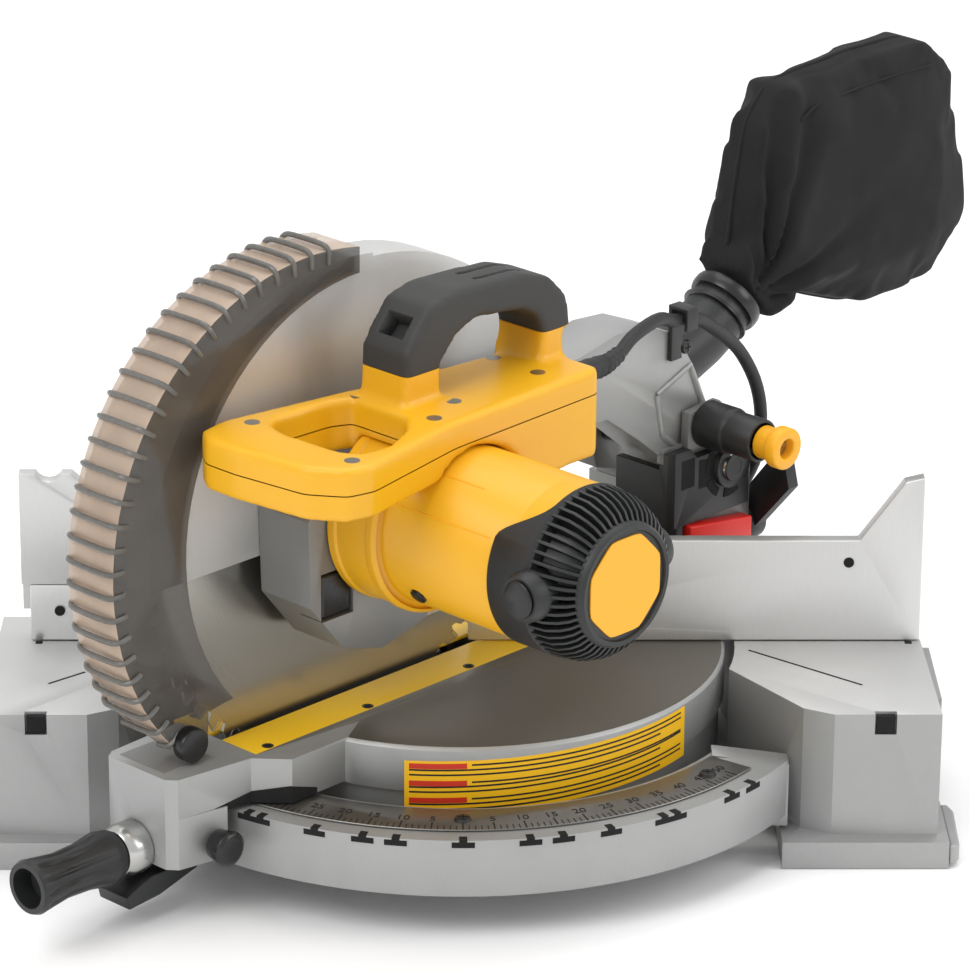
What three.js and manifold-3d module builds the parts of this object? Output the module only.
// A 305 mm single-bevel compound miter saw, as an assembly of separate pieces.
// Millimetres, +Z up. The origin is on the bench, under the turntable's pivot. The fence runs along X and
// the user stands at -Y. Inside the turntable group +X is the motor side and -Y is towards the handle.
import * as THREE from 'three';
import { mergeVertices } from 'three/addons/utils/BufferGeometryUtils.js';
import Module from 'manifold-3d';

const wasm = await Module();
wasm.setup();

// ---- Driving dimensions -------------------------------------------------------------------------------
const GAP = 0.3;
const TABLE = 95;                  // height of the table top
const MITER_AT_REST = 45;          // degrees to the left
const DISC_RADIUS = 163;
const BOWL_RADIUS = 166;
const RING_INNER = 180;
const RING_OUTER = 224.5;
const RING_REACH = 60;             // degrees to each side
const RING_TOP = 64.5;
const RING_BOTTOM = 29;
const FLOOR_TOP = 31;
const FLOOR_BOTTOM = 25;
const WING_FRONT = -113.5;
const WING_BACK = 40;
const WING_END = 283;
const FOOT_HEIGHT = 17;
const FENCE_THICK = 10;
const FENCE_LOW = 161;
const FENCE_TALL = 202;
const FENCE_STEP = 132;            // top of the left fixed fence
const CLAMP_KNOB = { x: -216, z: 120, near: 24, far: 36 };
const FENCE_SEAT = 0.6;            // depth of the machined seats under the fences

const ARBOR = { f: 105, z: 212 };  // f is the distance in front of the turntable's pivot
const MOTOR = { f: 108, z: 230 };
const MOTOR_FLANGE = 55.5;         // radius of the motor housing next to the gear case
const MOTOR_BARREL = 49.7;
const MOTOR_STEP = 90;             // where the flange ends, to the right of the blade
const MOTOR_END = 188;
const CAP_END = 236;
const BRUSHES = 207;               // the brush bosses' place along the motor
const GRIP = { left: 44, right: 82 };
const HEAD_PIVOT = { f: -163, z: 187 };
const LOCK_PIN = { f: -150, z: 216 };
const BLADE_RADIUS = 152.4;
const BLADE_THICK = 2.4;
const GUARD_CIRCLE = { f: 131.6, z: 217, r: 162 };
const GUARD_INNER = { f: 94.6, z: 216.7, r: 143 };
const REAR_GUARD = { f: 90.6, z: 198, r: 168 };
const GUARD_RIGHT = 13.4;          // outer face of the lower guard's right wall
const GUARD_LEFT = -24.6;
const TILT_SLOPE = 1.2;            // rise of the guard's lower left edge, to clear the table at full tilt
const HANDLE_TOP = 301;
const HANDLE_SEAM = 285;
const HANDLE_BOTTOM = 269;
const DUCT_X = -2;
const CORD_DIAMETER = 8.4;
const LOCK_ROD_HEIGHT = 46;
const COIL = { x: -80, y: 300, inner: 34.4, outer: 59.8, top: 26 };
const PLUG = { x: -124, z: 38.6, near: 301 };

// ---- Small tools --------------------------------------------------------------------------------------
const rad = (degrees) => (degrees * Math.PI) / 180;

// Shares the vertices of a closed surface and drops the empty triangles at a lathe's poles.
function closed(geometry) {
  const bare = new THREE.BufferGeometry();
  bare.setAttribute('position', geometry.attributes.position.clone());
  if (geometry.index) bare.setIndex(geometry.index.clone());
  const merged = mergeVertices(bare, 1e-4);
  const kept = [];
  const index = merged.index.array;
  for (let i = 0; i < index.length; i += 3) {
    const [a, b, c] = [index[i], index[i + 1], index[i + 2]];
    if (a !== b && b !== c && a !== c) kept.push(a, b, c);
  }
  merged.setIndex(kept);
  return merged;
}

function solid(geometry) {
  const mesh = closed(geometry);
  return new wasm.Manifold(new wasm.Mesh({
    numProp: 3,
    vertProperties: new Float32Array(mesh.attributes.position.array),
    triVerts: new Uint32Array(mesh.index.array),
  }));
}

function surface(manifold) {
  const mesh = manifold.getMesh();
  const geometry = new THREE.BufferGeometry();
  geometry.setAttribute('position', new THREE.BufferAttribute(new Float32Array(mesh.vertProperties), 3));
  geometry.setIndex(new THREE.BufferAttribute(new Uint32Array(mesh.triVerts), 1));
  return geometry;
}

function join(first, ...others) {
  return surface(others.reduce((whole, piece) => whole.add(solid(piece)), solid(first)));
}

function cut(body, ...tools) {
  return surface(tools.reduce((whole, tool) => whole.subtract(solid(tool)), solid(body)));
}

function common(body, tool) {
  return surface(solid(body).intersect(solid(tool)));
}

function outline(points) {
  return new THREE.Shape(points.map(([x, y]) => new THREE.Vector2(x, y)));
}

// The corners of a regular polygon that stands for a circle.
function circle(x, y, radius, sides) {
  return Array.from({ length: sides }, (_, i) => {
    const angle = (2 * Math.PI * i) / sides;
    return [x + radius * Math.cos(angle), y + radius * Math.sin(angle)];
  });
}

// A prism standing on z = low, from an outline in x and y.
function upright(points, low, high) {
  const geometry = new THREE.ExtrudeGeometry(outline(points), { depth: high - low, bevelEnabled: false });
  return geometry.translate(0, 0, low);
}

// A prism along x, from an outline in f (forward, so y = -f) and z.
function sideways(points, left, right) {
  const geometry = new THREE.ExtrudeGeometry(outline(points), { depth: right - left, bevelEnabled: false });
  const axes = new THREE.Matrix4().makeBasis(
    new THREE.Vector3(0, -1, 0), new THREE.Vector3(0, 0, 1), new THREE.Vector3(-1, 0, 0));
  return geometry.applyMatrix4(axes).translate(right, 0, 0);
}

// A prism along y, from an outline in x and z. It reaches from y = near to y = far.
function lengthways(points, near, far) {
  const geometry = new THREE.ExtrudeGeometry(outline(points), { depth: far - near, bevelEnabled: false });
  return geometry.rotateX(Math.PI / 2).translate(0, far, 0);
}

function block(x0, x1, y0, y1, z0, z1) {
  const geometry = new THREE.BoxGeometry(x1 - x0, y1 - y0, z1 - z0);
  return geometry.translate((x0 + x1) / 2, (y0 + y1) / 2, (z0 + z1) / 2);
}

// A block given by its reach forward (f) instead of y.
const brick = (x0, x1, f0, f1, z0, z1) => block(x0, x1, -f1, -f0, z0, z1);

// A turned piece about a line along x through f and z: the profile is [x, radius] from left to right.
function turnedAcross(profile, f, z, sides = 32) {
  const points = profile.map(([x, radius]) => new THREE.Vector2(radius, x));
  return new THREE.LatheGeometry(points, sides).rotateZ(-Math.PI / 2).translate(0, -f, z);
}

// A turned piece about a vertical line: the profile is [z, radius] from low to high.
function turnedUpright(profile, x = 0, y = 0, sides = 32) {
  const points = profile.map(([z, radius]) => new THREE.Vector2(radius, z));
  return new THREE.LatheGeometry(points, sides).rotateX(Math.PI / 2).translate(x, y, 0);
}

// A turned piece about a line along y: the profile is [f, radius], from the back forward.
function turnedForward(profile, x, z, sides = 32) {
  const points = profile.map(([f, radius]) => new THREE.Vector2(radius, f));
  return new THREE.LatheGeometry(points, sides).rotateX(Math.PI).translate(x, 0, z);
}

const pinAcross = (left, right, radius, f, z, sides = 24) =>
  turnedAcross([[left, 0], [left, radius], [right, radius], [right, 0]], f, z, sides);

const discAcross = (left, right, circle, sides = 72) =>
  pinAcross(left, right, circle.r, circle.f, circle.z, sides);

const pinUpright = (low, high, radius, x, y, sides = 24) =>
  turnedUpright([[low, 0], [low, radius], [high, radius], [high, 0]], x, y, sides);

const pinForward = (back, front, radius, x, z, sides = 24) =>
  turnedForward([[back, 0], [back, radius], [front, radius], [front, 0]], x, z, sides);

// Part of a flat ring, from one angle to another, in degrees from -Y towards +X.
function ringSector(inner, outer, from, to, low, high, steps = 40) {
  const at = (radius, angle) => [radius * Math.sin(rad(angle)), -radius * Math.cos(rad(angle))];
  const points = [];
  for (let i = 0; i <= steps; i += 1) points.push(at(outer, from + ((to - from) * i) / steps));
  for (let i = steps; i >= 0; i -= 1) points.push(at(inner, from + ((to - from) * i) / steps));
  return upright(points, low, high);
}

// A round tube along a smooth route.
function tube(route, diameter, steps, sides = 8) {
  const points = route.map((point) => new THREE.Vector3(...point));
  const curve = new THREE.CatmullRomCurve3(points, false, 'centripetal');
  const section = circle(0, 0, diameter / 2, sides);
  return new THREE.ExtrudeGeometry(outline(section), { steps, extrudePath: curve, bevelEnabled: false });
}

const FINISH = {
  aluminium: { color: 0xb9bbbc, roughness: 0.5, metalness: 0.75 },
  machined: { color: 0xc9cacb, roughness: 0.35, metalness: 0.9 },
  steel: { color: 0xa8a9ab, roughness: 0.3, metalness: 1 },
  zinc: { color: 0x8f9193, roughness: 0.35, metalness: 1 },
  yellow: { color: 0xf2b705, roughness: 0.45, metalness: 0 },
  black: { color: 0x1b1c1e, roughness: 0.6, metalness: 0 },
  rubber: { color: 0x242628, roughness: 0.8, metalness: 0 },
  smoke: { color: 0x6d655f, roughness: 0.25, metalness: 0 },
  fabric: { color: 0x101012, roughness: 0.95, metalness: 0 },
  copper: { color: 0xb06a34, roughness: 0.4, metalness: 1 },
  red: { color: 0xcf2a26, roughness: 0.5, metalness: 0 },
};

function add(group, name, geometry, finish) {
  const mesh = new THREE.Mesh(closed(geometry), new THREE.MeshStandardMaterial(FINISH[finish]));
  mesh.name = name;
  group.add(mesh);
  return mesh;
}

// ---- Base ---------------------------------------------------------------------------------------------
const RIGHT_WING = [[159, WING_BACK], [159, -38], [204, -104], [222, WING_FRONT], [WING_END + 3, WING_FRONT],
  [WING_END, WING_BACK]];
const WING_POCKET = [[172, 34], [172, -36], [211, -93], [226, -107], [278, -107], [277, 34]];
const mirrored = (points) => points.map(([x, y]) => [-x, y]).reverse();

function baseCasting() {
  const pieces = [];
  for (const mirror of [false, true]) {
    const side = (points) => (mirror ? mirrored(points) : points);
    const sign = mirror ? -1 : 1;
    const across = (a, b, ...rest) =>
      block(Math.min(sign * a, sign * b), Math.max(sign * a, sign * b), ...rest);
    const wing = cut(
      upright(side(RIGHT_WING), FOOT_HEIGHT - 2, TABLE),
      upright(side(WING_POCKET), 0, TABLE - 7),
      across(246, 259, WING_FRONT - 1, WING_FRONT + 5, 82, TABLE + 1),
    );
    pieces.push(wing);
    pieces.push(across(192, 292, -126, -66, 0, FOOT_HEIGHT));
    pieces.push(across(192, 292, 18, 50, 0, FOOT_HEIGHT));
    pieces.push(lengthways(side([[150, 20], [196, 20], [196, 60], [150, 66]]), -108, -92));
    pieces.push(across(280, 291.5, -60, 20, 40, 82));
    pieces.push(across(100, 200, 24, 40, 30, TABLE - 8));
  }
  const ring = cut(
    ringSector(RING_INNER, RING_OUTER, -RING_REACH, RING_REACH, RING_BOTTOM, RING_TOP),
    ringSector(RING_INNER + 7, RING_OUTER - 6, 3 - RING_REACH, RING_REACH - 3, 0, RING_TOP - 7),
  );
  const floor = pinUpright(FLOOR_BOTTOM, FLOOR_TOP, 173, 0, 0, 72);
  const frontFloor = ringSector(170, 190, -RING_REACH, RING_REACH, FLOOR_BOTTOM, FLOOR_TOP);
  const centreFoot = pinUpright(0, FLOOR_BOTTOM + 1, 34, 0, 0, 32);
  const bowl = pinUpright(FLOOR_TOP + 0.5, TABLE + 5, BOWL_RADIUS + 3, 0, 0, 96);
  const whole = join(ring, floor, frontFloor, centreFoot, ...pieces);
  const seats = [-1, 1].map((side) => block(Math.min(150 * side, 300 * side), Math.max(150 * side, 300 * side),
    -FENCE_SEAT, WING_BACK + 1, TABLE - FENCE_SEAT, TABLE + 1));
  return cut(whole, bowl, pinUpright(9, 60, 8.3, 0, 0, 16), ...seats);
}

function fencePlate(points) {
  return lengthways(points, 0, FENCE_THICK);
}

function rightFence() {
  const face = fencePlate([[2, TABLE + GAP], [WING_END, TABLE + GAP], [WING_END, FENCE_TALL],
    [271, FENCE_TALL - 3], [244, FENCE_LOW], [2, FENCE_LOW]]);
  const foot = block(176, 280, FENCE_THICK - 1, 38, TABLE + GAP, TABLE + 10);
  const ribs = [180, 226, 272].map((x) => upright([[x, 9], [x + 6, 9], [x + 6, 34], [x, 34]], TABLE + 1, 140));
  const bladeRelief = upright([[0, -1], [3, -1], [22, FENCE_THICK + 1], [0, FENCE_THICK + 1]], 90, 124);
  const guardRelief = lengthways([[0, 108], [36, 108], [36, 170], [0, 170]], -1, FENCE_THICK + 1);
  return cut(join(face, foot, ...ribs), bladeRelief, guardRelief);
}

function leftFence() {
  const face = fencePlate([[-263, TABLE + GAP], [-62, TABLE + GAP], [-132, FENCE_STEP - GAP],
    [-263, FENCE_STEP - GAP]]);
  const foot = block(-260, -176, FENCE_THICK - 1, 38, TABLE + GAP, TABLE + 10);
  const boss = block(CLAMP_KNOB.x - 10, CLAMP_KNOB.x + 10, FENCE_THICK - 1, CLAMP_KNOB.near - GAP, TABLE + 1,
    FENCE_STEP - GAP);
  return join(face, foot, boss);
}

function slidingFence() {
  const face = fencePlate([[-268, FENCE_STEP + GAP], [-155, FENCE_STEP + GAP], [-236, FENCE_TALL + 2],
    [-268, FENCE_TALL + 2]]);
  const guide = block(-268, -234, FENCE_THICK + GAP, 16, 112, FENCE_STEP + 20);
  const bridge = block(-268, -234, FENCE_THICK - 1, 16, FENCE_STEP + 4, FENCE_STEP + 20);
  const notch = lengthways(circle(-250, FENCE_TALL + 6, 9, 16), -2, 40);
  return cut(join(face, bridge, guide), notch);
}

function lobedKnob({ x, z, near, far }, radius, lobes) {
  const points = Array.from({ length: lobes * 4 }, (_, i) => {
    const angle = (2 * Math.PI * i) / (lobes * 4);
    const reach = i % 4 === 0 ? 0.86 * radius : radius;
    return [x + reach * Math.cos(angle), z + reach * Math.sin(angle)];
  });
  return lengthways(points, near, far);
}

function buildBase(object) {
  add(object, 'base_casting', baseCasting(), 'aluminium');
  const scale = ringSector(184, 213, -54, 54, RING_TOP + GAP, RING_TOP + 1.6, 36);
  add(object, 'miter_scale_plate', scale, 'machined');
  add(object, 'right_fence', rightFence(), 'machined');
  add(object, 'left_fence', leftFence(), 'machined');
  add(object, 'left_sliding_fence', slidingFence(), 'machined');
  add(object, 'fence_clamp_knob', lobedKnob(CLAMP_KNOB, 13, 6), 'yellow');
}

// ---- Turntable ----------------------------------------------------------------------------------------
const SLOT = { left: -36, right: 36, back: -26, front: 206 };

function turntableCasting() {
  const disc = turnedUpright([[66.5, 0], [66.5, DISC_RADIUS], [TABLE - 2, DISC_RADIUS],
    [TABLE, DISC_RADIUS - 2], [TABLE, 0]], 0, 0, 96);
  const skirt = turnedUpright([[40, 150], [40, DISC_RADIUS - 3], [70, DISC_RADIUS - 3], [70, 150],
    [40, 150]], 0, 0, 72);
  const underside = turnedUpright([[50, 42], [50, 150], [TABLE - 8, 150], [TABLE - 8, 42], [50, 42]], 0, 0, 72);
  const hub = pinUpright(34, 70, 40, 0, 0, 32);
  const nose = upright([[-34, -130], [-27, -262], [-23, -268], [25, -268], [31, -263], [38, -212],
    [56, -196], [56, -130]], RING_TOP + 3, TABLE);
  const noseFront = upright([[-27, -230], [-27, -262], [-23, -268], [25, -268], [31, -263],
    [37, -230]], 38, 70);
  const rear = brick(-52, 52, -169, -140, 40, TABLE - 1);
  const slotWalls = brick(-46, 46, -145, 150, 66.5, TABLE - 2);
  const trunnion = pinForward(-169, -158, 34, 0, TABLE, 40);
  const hollow = brick(SLOT.left, SLOT.right, SLOT.back, SLOT.front, 0, TABLE + 1);
  const whole = join(cut(join(disc, skirt), underside), hub, nose, noseFront, rear, slotWalls, trunnion);
  const rod = pinForward(160, 275, 8, 0, LOCK_ROD_HEIGHT, 16);
  const tiltBolt = pinForward(-172, -160, 8.4, 0, TABLE, 16);
  return cut(whole, hollow, pinUpright(0, 60, 8.3, 0, 0, 16), rod, tiltBolt);
}

function kerfPlate(left, right, front) {
  return brick(left, right, SLOT.back + GAP, front, TABLE - 2.8, TABLE - GAP);
}

function miterHandle() {
  const body = turnedForward([[286, 0], [286, 14], [296, 17], [318, 13.5], [330, 13.5], [348, 17],
    [352, 15.5], [352, 0]], 0, LOCK_ROD_HEIGHT, 20);
  return cut(body, pinForward(340, 356, 10, 0, LOCK_ROD_HEIGHT, 16));
}

function buildTurntable(group) {
  add(group, 'turntable_casting', turntableCasting(), 'aluminium');
  add(group, 'right_kerf_plate', kerfPlate(5.6, SLOT.right - GAP, SLOT.front - GAP), 'yellow');
  add(group, 'left_kerf_plate', kerfPlate(SLOT.left + GAP, -5, SLOT.front - GAP), 'yellow');
  add(group, 'miter_pivot_bolt', pinUpright(9 + GAP, 60, 8, 0, 0, 16), 'zinc');
  add(group, 'turntable_cord_clip', brick(-64, -52 - GAP, -168.6, -158, 40, 70), 'black');
  const collar = [[268 + GAP, 8.4], [268 + GAP, 16], [280, 16], [285.7, 14], [285.7, 8.4], [268 + GAP, 8.4]];
  add(group, 'handle_collar', turnedForward(collar, 0, LOCK_ROD_HEIGHT, 24), 'steel');
  add(group, 'miter_lock_rod', pinForward(RING_OUTER + 1, 285.6, 7.5, 0, LOCK_ROD_HEIGHT, 16), 'steel');
}

function buildMiterControls(group) {
  add(group, 'miter_lock_handle', miterHandle(), 'black');
  const lever = [[232, 30], [268, 30], [288, 22], [286, 14], [262, 16], [232, 24]];
  add(group, 'miter_latch_lever', sideways(lever, -13, 13), 'black');
  const knob = turnedAcross([[38 + GAP, 0], [38 + GAP, 9], [50, 11], [52, 8], [52, 0]], 240, 50, 20);
  add(group, 'detent_override_knob', knob, 'black');
}

// ---- Bevel group: tilts about a line along y at the height of the table ---------------------------------
function bevelSupport() {
  const column = brick(-50, 66, -192, -169.4, 58, 150);
  const leftCheek = sideways([[-192, 120], [-170, 120], [-170, 156], [-150, 162], [-142, 187],
    [-148, 208], [-178, 208], [-192, 190]], -44, -26);
  const rightCheek = sideways([[-192, 100], [-170, 100], [-136, 160], [-132, 187], [-134, 226],
    [-162, 228], [-192, 196]], 60, 66);
  const pinHole = pinAcross(-60, 90, 9.3, HEAD_PIVOT.f, HEAD_PIVOT.z, 16);
  const lockHole = pinAcross(50, 90, 6.4, LOCK_PIN.f, LOCK_PIN.z, 16);
  return cut(join(column, leftCheek, rightCheek), pinHole, lockHole, pinForward(-200, -160, 8.4, 0, TABLE, 16));
}

function bevelCover() {
  const shell = sideways([[-183, 157], [-183, 196], [-166, 199], [-134, 199], [-128, 206],
    [-114, 206], [-114, 157]], 66 + GAP, 73);
  const front = join(brick(22, 60, -122, -116, 120, 192), brick(58, 73, -122, -116, 120, 203));
  const ring = pinAcross(70, 77, 14, HEAD_PIVOT.f, HEAD_PIVOT.z, 24);
  return cut(join(shell, front, ring), pinAcross(60, 90, 9.3, HEAD_PIVOT.f, HEAD_PIVOT.z, 16));
}

function clampLever() {
  const hub = pinForward(-206, -192 - GAP, 13, 56, 136, 24);
  const arm = lengthways([[50, 146], [64, 130], [96, 168], [92, 184], [80, 184]], 195, 204);
  return join(hub, arm);
}

function buildBevel(group) {
  add(group, 'bevel_support', bevelSupport(), 'aluminium');
  add(group, 'bevel_cover', bevelCover(), 'black');
  const bolt = join(pinForward(-204, -161, 8, 0, TABLE, 16), pinForward(-202, -192 - GAP, 14, 0, TABLE, 6));
  add(group, 'bevel_bolt', bolt, 'zinc');
  add(group, 'head_pivot_pin', pinAcross(-48, 79, 9, HEAD_PIVOT.f, HEAD_PIVOT.z, 20), 'steel');
  const stopPlate = [[-184, 130], [-184, 148], [-126, 156], [-126, 130]];
  add(group, 'bevel_stop_plate', sideways(stopPlate, 66 + GAP, 76), 'red');
  add(group, 'bevel_cord_clip', brick(20, 40, -211, -192 - GAP, 104, 114), 'black');
  const sleeve = [[66 + GAP, 6.6], [66 + GAP, 15], [88, 15], [90, 13.5], [112, 13.5], [112, 11.2],
    [102, 11.2], [102, 6.6], [66 + GAP, 6.6]];
  add(group, 'lock_pin_sleeve', turnedAcross(sleeve, LOCK_PIN.f, LOCK_PIN.z, 24), 'black');
}

function buildBevelControls(group) {
  add(group, 'bevel_clamp_lever', clampLever(), 'black');
  add(group, 'lock_pin_shaft', pinAcross(59, 126, 6, LOCK_PIN.f, LOCK_PIN.z, 16), 'steel');
  const knob = [[112 + GAP, 6.3], [112 + GAP, 10.5], [122, 10], [124, 13.2], [132, 13.2], [132, 6.3],
    [112 + GAP, 6.3]];
  add(group, 'lock_pin_knob', turnedAcross(knob, LOCK_PIN.f, LOCK_PIN.z, 32), 'yellow');
}

// ---- Head: swings about the head pivot ------------------------------------------------------------------
function upperGuard() {
  const front = common(discAcross(-20, 10, { ...ARBOR, r: 157.5 }), brick(-30, 20, 84, 300, 204, 420));
  const rear = common(discAcross(-20, 10, REAR_GUARD), brick(-30, 20, -120, 85, 126, 420));
  const cavity = discAcross(-17, 7, { ...ARBOR, r: 154.6 });
  const centre = discAcross(-30, 20, { ...ARBOR, r: 40 }, 32);
  const chute = brick(-14, 4, -90, 0, 216, 244);
  return cut(join(front, rear), cavity, centre, chute);
}

function swingArm() {
  const profile = [[60, 216], [60, 282], [-42, 283], [-76, 290], [-103, 288], [-130, 277], [-147, 250],
    [-158, 226], [-182, 200], [-186, 187], [-180, 172], [-163, 164], [-148, 168], [-122, 196],
    [-96, 217], [-68, 237], [-42, 239], [10, 216]];
  const arm = sideways(profile, 20 + GAP, 58);
  const bridge = sideways([[60, 216], [60, 262], [0, 262], [0, 216]], 10 + GAP, 24);
  const pinHole = pinAcross(0, 80, 9.3, HEAD_PIVOT.f, HEAD_PIVOT.z, 16);
  const pocket = sideways([[-50, 248], [-50, 276], [-110, 276], [-124, 240], [-110, 226], [-90, 236]], 15, 30);
  const lockHole = pinAcross(49, 62, 6.6, LOCK_PIN.f, LOCK_PIN.z, 16);
  const motorRoom = pinAcross(52, 60, MOTOR_FLANGE + 1, MOTOR.f, MOTOR.z, 48);
  return cut(join(arm, bridge), pinHole, pocket, lockHole, motorRoom);
}

function gearCase() {
  const profile = [[62, 236], [62, 176], [82, 150], [118, 141], [150, 150], [176, 182], [178, 236],
    [160, 256], [80, 256]];
  const body = sideways(profile, 10 + GAP, 52);
  const spindleBore = pinAcross(0, 46, 16, ARBOR.f, ARBOR.z, 24);
  const room = pinAcross(30, 53, 28.6, MOTOR.f, MOTOR.z - 3.8, 32);
  const button = brick(34, 60, 142, 168, 171, 201);
  return cut(body, spindleBore, room, button);
}

const D_OUTLINE = [[125, 118], [205, 134], [222, 130], [236, 110], [242, 60], [242, 36], [234, 24],
  [214, 20], [128, 34], [110, 40], [0, 52], [-4, 58], [-4, 108], [0, 112]];
const D_OPENING = [[138, 48], [150, 42], [190, 40], [200, 46], [204, 62], [202, 104], [196, 114],
  [176, 116], [150, 104], [138, 90]];
const asPlan = (points) => points.map(([f, x]) => [x, -f]);

// The handle is in two halves that meet at a seam. The lower half also wraps the top of the motor.
function handleHalf(low, high) {
  const body = upright(asPlan(D_OUTLINE), low, high);
  const opening = upright(asPlan(D_OPENING), low - 10, high + 10);
  const trigger = brick(57, 108, 196, 213, 262, 292);
  const flangeRoom = pinAcross(51.6, MOTOR_STEP + 3, MOTOR_FLANGE + 1.5, MOTOR.f, MOTOR.z, 48);
  const barrelRoom = pinAcross(MOTOR_STEP, 250, MOTOR_BARREL + 1, MOTOR.f, MOTOR.z, 48);
  const armRoom = brick(0, 58 + GAP, -60, 62, 150, 284);
  return { body, cuts: [opening, trigger, flangeRoom, barrelRoom, armRoom] };
}

function lowerHandle() {
  const { body, cuts } = handleHalf(HANDLE_BOTTOM, HANDLE_SEAM - GAP / 2);
  const wrap = upright(asPlan([[122, 117], [122, 60], [-4, 60], [-4, 108], [0, 112]]), 246, HANDLE_BOTTOM + 4);
  return cut(join(body, wrap), ...cuts);
}

function upperHandle() {
  const { body, cuts } = handleHalf(HANDLE_SEAM + GAP / 2, HANDLE_TOP);
  const [left, right] = [GRIP.left, GRIP.right];
  const postFoot = HANDLE_TOP - 3;
  const frontPost = sideways([[100, postFoot], [130, postFoot], [128, 319], [100, 319]], left, right);
  const rearPost = sideways([[-3, postFoot], [20, postFoot], [14, 317], [-3, 317]], left, right);
  return join(cut(body, ...cuts), frontPost, rearPost);
}

function motorHousing() {
  const start = 52 + GAP;
  return turnedAcross([[start, 32], [start, MOTOR_FLANGE - 2], [start + 3, MOTOR_FLANGE],
    [MOTOR_STEP - 2, MOTOR_FLANGE], [MOTOR_STEP, MOTOR_BARREL], [MOTOR_END, MOTOR_BARREL],
    [MOTOR_END, MOTOR_BARREL - 3], [62, MOTOR_BARREL - 3], [58, 32], [start, 32]], MOTOR.f, MOTOR.z, 48);
}

function endCap() {
  const start = MOTOR_END + GAP;
  const shell = turnedAcross([[start, 46.5], [start, 51], [206, 51], [220, 46.5], [230, 38.5], [CAP_END, 34],
    [CAP_END, 0], [231, 0], [231, 31], [219, 41], [206, 46.5], [start, 46.5]], MOTOR.f, MOTOR.z, 48);
  const bosses = [1, -1].map((side) => {
    const ends = [MOTOR.f + side * 44, MOTOR.f + side * 57];
    return pinForward(Math.min(...ends), Math.max(...ends), 15, BRUSHES, MOTOR.z, 24);
  });
  return cut(join(shell, ...bosses), pinAcross(start - 1, 219, 41, MOTOR.f, MOTOR.z, 48));
}

function toothed(teeth, inner, outer, place, left, right) {
  const points = Array.from({ length: teeth * 4 }, (_, i) => {
    const radius = i % 4 < 2 ? outer : inner;
    const angle = (2 * Math.PI * i) / (teeth * 4);
    return [place.f + radius * Math.cos(angle), place.z + radius * Math.sin(angle)];
  });
  return sideways(points, left, right);
}

function bearing(inner, outer, place, left, right) {
  const section = [[left, inner], [left, outer], [right, outer], [right, inner], [left, inner]];
  return turnedAcross(section, place.f, place.z, 24);
}

function carryGrip() {
  const outer = [[128, 319.5], [124, 338], [108, 357], [88, 362], [30, 359], [8, 352], [-6, 338],
    [-10, 317.5], [14, 317.5], [20, 330], [32, 337], [70, 341], [86, 335], [100, 319.5]];
  const grooves = [56, 67].map((x) => sideways([[60, 355], [60, 370], [20, 370], [20, 354]], x, x + 3));
  return cut(sideways(outer, GRIP.left, GRIP.right), ...grooves);
}

function lowerGuard() {
  const whole = discAcross(GUARD_LEFT, GUARD_RIGHT, GUARD_CIRCLE, 96);
  const inside = discAcross(GUARD_LEFT + 2, GUARD_RIGHT - 2, { ...GUARD_CIRCLE, r: GUARD_CIRCLE.r - 2.2 }, 96);
  const window = discAcross(0, 30, GUARD_INNER, 72);
  const below = brick(-40, 40, -200, 400, 0, TABLE + 3);
  const behind = sideways([[98, 400], [98, 330], [84, 236], [60, 0], [-300, 0], [-300, 420],
    [98, 420]], -40, 40);
  const hub = discAcross(-40, -12, { ...ARBOR, r: 26 }, 32);
  const low = sideways([[105, 150], [238, 96], [238, 0], [60, 0], [60, 150]], -40, -15);
  const foot = sideways([[0, 0], [228, 0], [222, 120], [150, 130], [0, 130]], 0, 40);
  const tiltRise = TABLE + 2 + 49 * TILT_SLOPE;
  const tiltRoom = lengthways([[-1, TABLE + 2], [-1, 0], [-50, 0], [-50, tiltRise]], -400, 200);
  return cut(whole, inside, window, below, behind, hub, low, foot, tiltRoom);
}

function headClip() {
  return join(brick(58 + GAP, 61.5, -131, -121, 262, 298), brick(58 + GAP, 74, -131, -121, 295.9, 298.4),
    brick(71.3, 74, -131, -121, 284, 298));
}

function buildMotorInside(group) {
  add(group, 'stator', bearing(27, 46, MOTOR, 84, 136), 'copper');
  add(group, 'spindle_bearing', bearing(9.3, 15.7, ARBOR, 14, 26), 'steel');
}

function buildMotorRotor(group) {
  const pinion = toothed(9, 4.2, 5.6, MOTOR, 36, 44);
  const shaft = [[34, 0], [34, 3], [52, 3], [54, 4], [80, 4], [80, 25], [140, 25], [140, 10], [195, 10],
    [195, 15], [218, 15], [218, 4], [226, 4], [226, 0]];
  add(group, 'armature', join(pinion, turnedAcross(shaft, MOTOR.f, MOTOR.z, 24)), 'copper');
  add(group, 'motor_fan', bearing(4.3, 43, MOTOR, 66, 76), 'black');
}

function buildBladeDrive(group) {
  const gear = cut(toothed(24, 10.8, 12.2, ARBOR, 35, 44), pinAcross(30, 50, 9.3, ARBOR.f, ARBOR.z, 16));
  add(group, 'spindle_gear', gear, 'steel');
}

function buildHeadControls(group) {
  add(group, 'trigger', brick(58.5, 106.5, 190, 205, 266, 290), 'black');
  add(group, 'spindle_lock_button', brick(41, 51.5, 143, 167, 172, 200), 'black');
}

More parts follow.
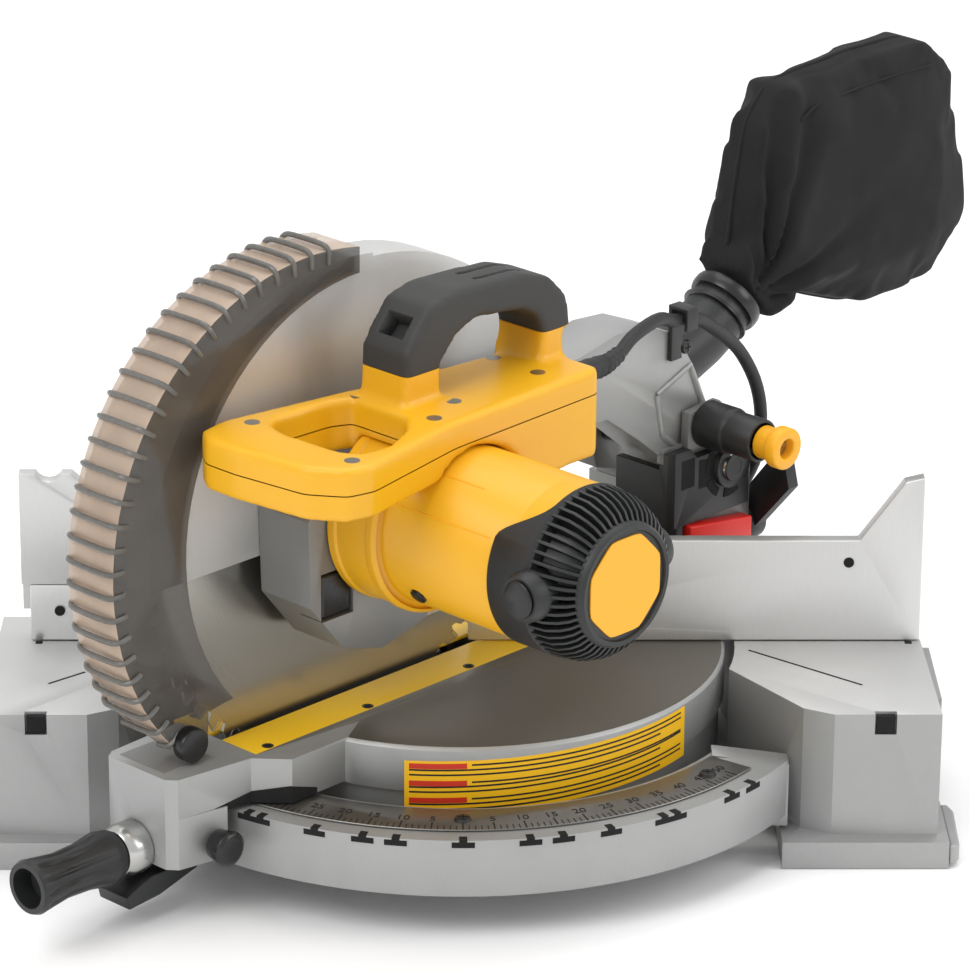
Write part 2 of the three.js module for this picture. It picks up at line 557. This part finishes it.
function buildHead(group) {
  add(group, 'upper_guard', upperGuard(), 'aluminium');
  add(group, 'swing_arm', swingArm(), 'aluminium');
  add(group, 'gear_case', gearCase(), 'aluminium');
  add(group, 'handle_lower_shell', lowerHandle(), 'yellow');
  add(group, 'handle_upper_shell', upperHandle(), 'yellow');
  add(group, 'carry_grip', carryGrip(), 'black');
  add(group, 'motor_housing', motorHousing(), 'yellow');
  add(group, 'motor_end_cap', endCap(), 'black');
  add(group, 'brush_cap', pinForward(MOTOR.f + 57 + GAP, MOTOR.f + 59, 11, BRUSHES, MOTOR.z, 20), 'black');
  add(group, 'head_cord_clip', headClip(), 'black');
  const gland = [[-26, 0], [-26, 6], [-6, 9], [-4 - GAP, 9], [-4 - GAP, 0]];
  add(group, 'cord_gland', turnedForward(gland, 86, 288, 20), 'rubber');
  add(group, 'dust_duct', dustDuct(), 'black');
  add(group, 'dust_bag', dustBag(), 'fabric');
}

function dustDuct() {
  const route = [[79, 230], [120, 229], [160, 229], [195, 232], [222, 243], [244, 258]];
  const pipe = (places, radius) => {
    const points = places.map(([y, z]) => new THREE.Vector3(DUCT_X, y, z));
    const path = new THREE.CatmullRomCurve3(points);
    const section = outline(circle(0, 0, radius, 20));
    return new THREE.ExtrudeGeometry(section, { steps: 10, extrudePath: path, bevelEnabled: false });
  };
  return cut(pipe(route, 21), pipe([[70, 230], ...route, [262, 271]], 18));
}

const BAG_OUTLINE = [[-236, 282], [-242, 300], [-246, 328], [-256, 376], [-276, 398], [-322, 400],
  [-369, 402], [-417, 402], [-445, 378], [-460, 310], [-466, 272], [-432, 232], [-364, 228], [-300, 248],
  [-278, 246], [-263.5, 242]];

function dustBag() {
  return sideways(BAG_OUTLINE, -38, 34);
}

function buildLowerGuard(group) {
  add(group, 'lower_guard', lowerGuard(), 'smoke');
  add(group, 'guard_roller', pinAcross(GUARD_RIGHT + GAP, 23, 10.5, 241, 107, 24), 'black');
}

function buildBlade(group) {
  const half = BLADE_THICK / 2;
  add(group, 'blade', pinAcross(-half, half, BLADE_RADIUS, ARBOR.f, ARBOR.z, 96), 'steel');
  add(group, 'inner_flange', cut(pinAcross(half + GAP, 7, 27, ARBOR.f, ARBOR.z, 32),
    pinAcross(0, 10, 9.3, ARBOR.f, ARBOR.z, 20)), 'zinc');
  add(group, 'outer_flange', pinAcross(-6.5, -half - GAP, 27, ARBOR.f, ARBOR.z, 32), 'zinc');
  add(group, 'arbor_bolt', pinAcross(-14, -6.8, 9, ARBOR.f, ARBOR.z, 6), 'zinc');
  add(group, 'spindle', pinAcross(half + GAP, 46, 9, ARBOR.f, ARBOR.z, 20), 'steel');
}

// ---- Power cord ---------------------------------------------------------------------------------------
// The cord leaves the handle's rear, is clipped to the swing arm, the bevel support and the turntable, and
// lies behind the saw. Its routes are written for the turntable group, with y towards the back.
const HEAD_LEAD = [[86, 26.6, 288], [86, 36, 288.4], [85, 48, 291.5], [82, 64, 298], [74, 94, 299],
  [68, 114, 292], [66.4, 124, 290], [66.4, 131, 289]];
const HEAD_LOOP = [[66.4, 131.8, 288.8], [65.8, 138, 287.4], [64, 148, 282], [61, 170, 267],
  [58, 190, 250], [58, 205, 226], [56, 213, 200], [50, 216, 172], [38, 216, 148], [31, 209, 128],
  [30, 204, 120], [30, 204, 114.9]];
const BEVEL_LOOP = [[30, 204, 103.1], [30, 204, 96], [29, 208, 80], [22, 218, 58], [0, 226, 42],
  [-26, 222, 40], [-48, 206, 50], [-57, 186, 60], [-58.2, 176, 62], [-58.2, 169.4, 62]];
const BENCH_LEAD = [[-58.2, 169.4, 48], [-58.2, 176, 47.6], [-61, 192, 40], [-76, 208, 22],
  [-96, 222, 9], [-118, 238, 4.7], [-131, 253, 4.6], [-135.4, 268.3, 4.6]];

function cordNode(group, name, route, steps) {
  add(group, name, tube(route, CORD_DIAMETER, steps), 'rubber');
}

function coilRing() {
  const { inner, outer, top } = COIL;
  const section = [[0.4, inner], [0.4, outer], [top, outer], [top, inner], [0.4, inner]];
  return turnedUpright(section, COIL.x, COIL.y, 48);
}

function plug() {
  const { x, z, near } = PLUG;
  const body = turnedForward([[-near - 48, 0], [-near - 48, 12], [-near - 26, 12], [-near - 10, 8],
    [-near, 6], [-near, 0]], x, z, 20);
  const blades = [-6, 6].map((aside) =>
    brick(x + aside - 0.8, x + aside + 0.8, -near - 66, -near - 46, z - 3.2, z + 3.2));
  return join(body, ...blades);
}

function buildCord(head, bevel, table) {
  cordNode(head, 'cord_head_lead', HEAD_LEAD, 14);
  cordNode(head, 'cord_head_loop', HEAD_LOOP, 20);
  cordNode(bevel, 'cord_bevel_loop', BEVEL_LOOP, 18);
  cordNode(table, 'cord_bench_lead', BENCH_LEAD, 14);
  add(table, 'cord_coil', coilRing(), 'rubber');
  add(table, 'mains_plug', plug(), 'black');
}

// ---- The whole object ---------------------------------------------------------------------------------
const saw = new THREE.Group();
const turntable = new THREE.Group();
const bevelGroup = new THREE.Group();
const head = new THREE.Group();
turntable.rotation.z = rad(-MITER_AT_REST);
saw.add(turntable);
turntable.add(bevelGroup);
bevelGroup.add(head);
buildBase(saw);
buildTurntable(turntable);
buildMiterControls(turntable);
buildBevel(bevelGroup);
buildBevelControls(bevelGroup);
buildHead(head);
buildMotorInside(head);
buildMotorRotor(head);
buildBladeDrive(head);
buildHeadControls(head);
buildLowerGuard(head);
buildBlade(head);
buildCord(head, bevelGroup, turntable);

export default saw;
